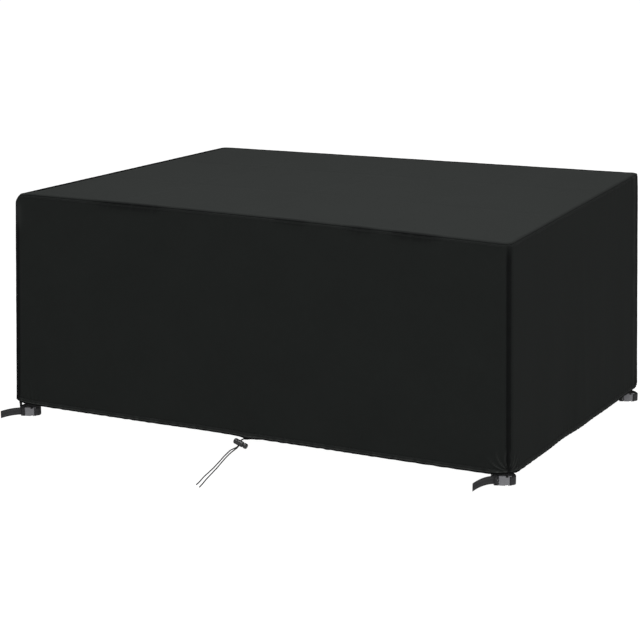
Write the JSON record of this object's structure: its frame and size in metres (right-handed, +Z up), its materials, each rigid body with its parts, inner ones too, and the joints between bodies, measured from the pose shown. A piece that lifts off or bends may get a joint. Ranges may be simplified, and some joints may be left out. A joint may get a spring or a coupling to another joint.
{
  "type": "patio furniture cover",
  "caption": "Dark fitted rectangular cover for patio furniture, with piped seams, a drawcord and barrel lock at the front hem, and buckled leg straps under the corners.",
  "frame": {"origin": "middle of the underside of the top panel, where the cover lies on the table top", "axes": "+X along the long side, to the right seen from the drawcord side; +Y from the drawcord side to the back; +Z up"},
  "size_m": [1.7744, 1.5496, 0.8075],
  "materials": {
    "coated_cloth": "dull coated weave",
    "welt_tape": "dull binding tape",
    "webbing": "ribbed webbing",
    "buckle_grey": "satin moulded",
    "buckle_black": "satin moulded",
    "cord": "braided",
    "lock_plastic": "smooth moulded"
  },
  "bodies": {
    "cover": {"top_panel": "coated_cloth", "front_panel": "coated_cloth", "right_panel": "coated_cloth", "back_panel": "coated_cloth", "left_panel": "coated_cloth", "top_welt": "welt_tape", "welt_fl": "welt_tape", "welt_fr": "welt_tape", "welt_br": "welt_tape", "welt_bl": "welt_tape", "leg_strap_fl": "webbing", "strap_tab_fl": "webbing", "buckle_socket_fl": "buckle_grey", "buckle_clip_fl": "buckle_black", "leg_strap_fr": "webbing", "strap_tab_fr": "webbing", "buckle_socket_fr": "buckle_grey", "buckle_clip_fr": "buckle_black", "leg_strap_br": "webbing", "strap_tab_br": "webbing", "buckle_socket_br": "buckle_grey", "buckle_clip_br": "buckle_black", "leg_strap_bl": "webbing", "strap_tab_bl": "webbing", "buckle_socket_bl": "buckle_grey", "buckle_clip_bl": "buckle_black", "drawcord_left": "cord", "drawcord_right": "cord", "cord_lock_barrel": "lock_plastic"},
    "lock_button": {"cord_lock_button": "lock_plastic"}
  },
  "joints": [
    {"name": "lock_button_press", "type": "slide", "parent": "cover", "child": "lock_button", "axis": [-0.9478, 0, 0.319], "range_m": [0, 0.0035], "stiffness_N_per_m": 1000, "springref_m": -0.003}
  ]
}
